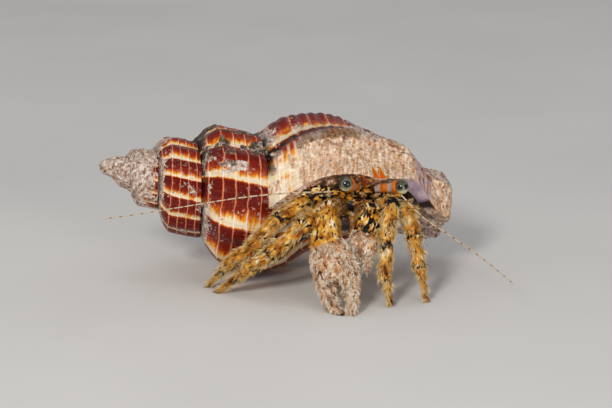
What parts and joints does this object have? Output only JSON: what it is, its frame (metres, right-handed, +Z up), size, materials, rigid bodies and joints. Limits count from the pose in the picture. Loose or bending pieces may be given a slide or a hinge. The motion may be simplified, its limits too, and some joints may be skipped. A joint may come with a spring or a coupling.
{
  "type": "hermit crab in a whelk shell",
  "caption": "Still, life-size hermit crab standing at the mouth of a small ribbed whelk shell, with banded eyestalks, long feelers, claws and walking legs.",
  "frame": {"origin": "on the ground, under the middle of the bounding box", "axes": "+X runs from the shell's tip towards its canal, the crab looks along -Y, +Z is up"},
  "size_m": [0.0262, 0.0178, 0.01],
  "materials": {
    "shell": "glossy maroon ribs and cream bands under a pale chalky crust",
    "eye": "wet, clear cornea over dark rings",
    "eyestalk": "orange and grey-lilac bands, satin",
    "claw": "horny crust under pale bristles, satin",
    "leg": "ochre crust with black spots, satin",
    "feeler": "fine pale rings, satin",
    "mouthpart": "mottled brown, satin",
    "carapace": "mottled black and yellow, satin",
    "body_skin": "soft, moist skin"
  },
  "bodies": {
    "root": {"shell": "shell", "cornea_right": "eye", "eyestalk_right": "eyestalk", "cornea_left": "eye", "eyestalk_left": "eyestalk", "claw_right_finger": "claw", "claw_right_palm": "claw", "claw_right_carpus": "claw", "claw_right_merus": "claw", "claw_left_finger": "claw", "claw_left_palm": "claw", "claw_left_carpus": "claw", "claw_left_merus": "claw", "leg_2_right_dactyl": "leg", "leg_2_right_propodus": "leg", "leg_2_right_carpus": "leg", "leg_2_right_merus": "leg", "leg_3_right_dactyl": "leg", "leg_3_right_propodus": "leg", "leg_3_right_carpus": "leg", "leg_3_right_merus": "leg", "leg_2_left_dactyl": "leg", "leg_2_left_propodus": "leg", "leg_2_left_carpus": "leg", "leg_2_left_merus": "leg", "leg_3_left_dactyl": "leg", "leg_3_left_propodus": "leg", "leg_3_left_carpus": "leg", "leg_3_left_merus": "leg", "antenna_base_right": "feeler", "antenna_right": "feeler", "antennule_right": "feeler", "maxilliped_right": "mouthpart", "antenna_base_left": "feeler", "antenna_left": "feeler", "antennule_left": "feeler", "maxilliped_left": "mouthpart", "shield": "carapace", "thorax": "body_skin", "abdomen": "body_skin"}
  },
  "joints": []
}
